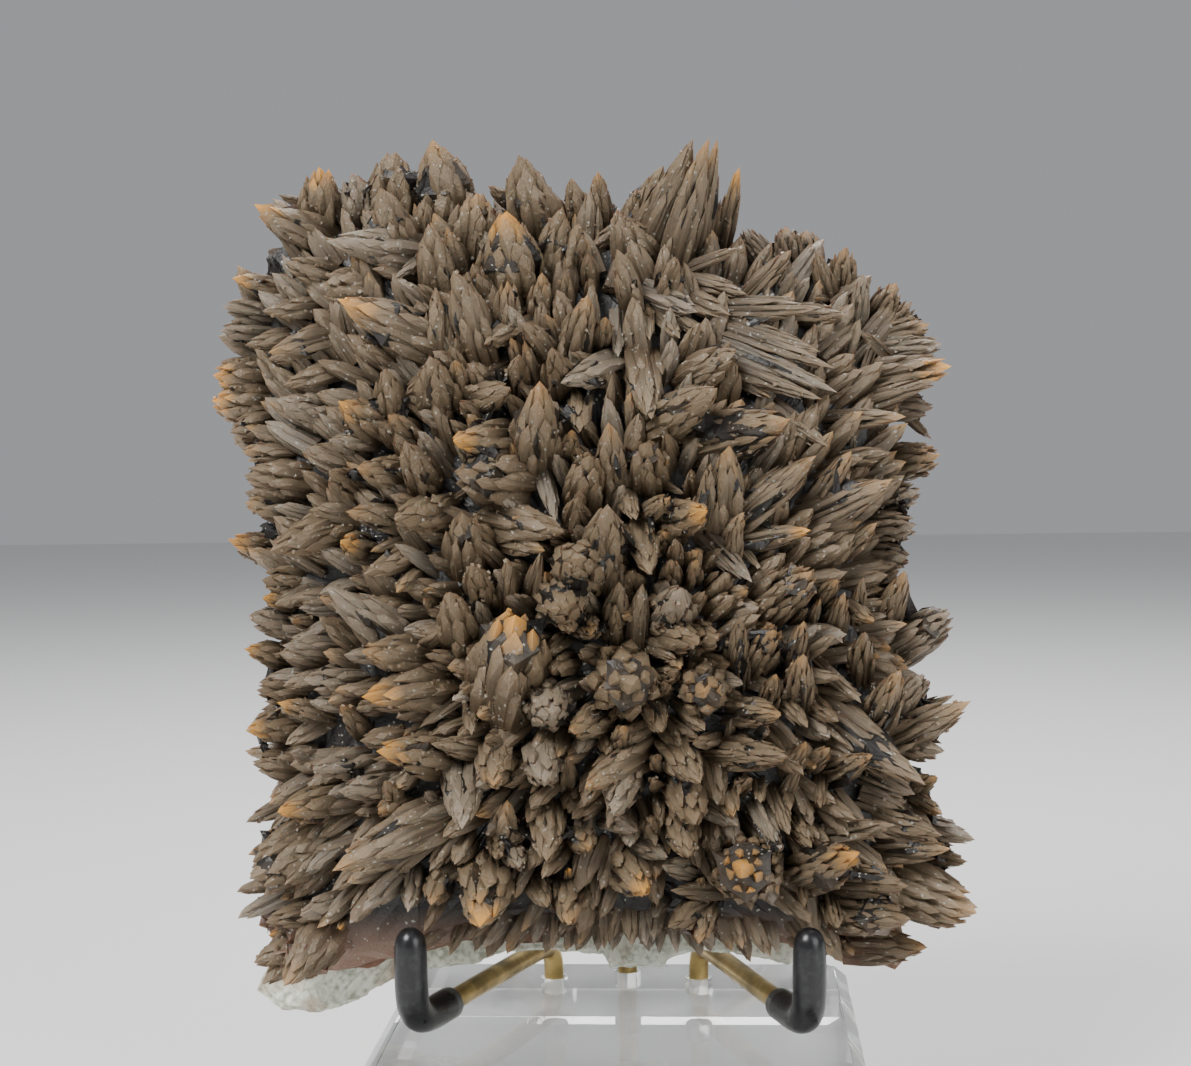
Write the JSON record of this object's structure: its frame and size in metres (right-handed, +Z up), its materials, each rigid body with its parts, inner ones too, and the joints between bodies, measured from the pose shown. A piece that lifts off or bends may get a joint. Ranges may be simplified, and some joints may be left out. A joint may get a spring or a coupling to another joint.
{
  "type": "calcite specimen on a display stand",
  "caption": "Plate of splaying brown calcite crystals on pale rock, leaning on two sleeved brass arms and a back support that rise out of a clear bevelled slab.",
  "frame": {"origin": "middle of the clear slab's underside, on the surface it stands on", "axes": "+Z up, the crystals face -Y, +X to the right as seen from the front"},
  "size_m": [0.1067, 0.066, 0.1411],
  "materials": {
    "rock": "granular, matt",
    "calcite": "sugary, matt with sparkles",
    "acrylic": "clear, polished, finely scratched",
    "brass_rod": "aged, satin",
    "vinyl": "glossy"
  },
  "bodies": {
    "root": {"matrix": "rock", "calcite_crust": "calcite", "acrylic_base": "acrylic", "left_arm": "brass_rod", "right_arm": "brass_rod", "back_support": "brass_rod", "left_sleeve": "vinyl", "right_sleeve": "vinyl", "back_sleeve": "vinyl"}
  },
  "joints": []
}
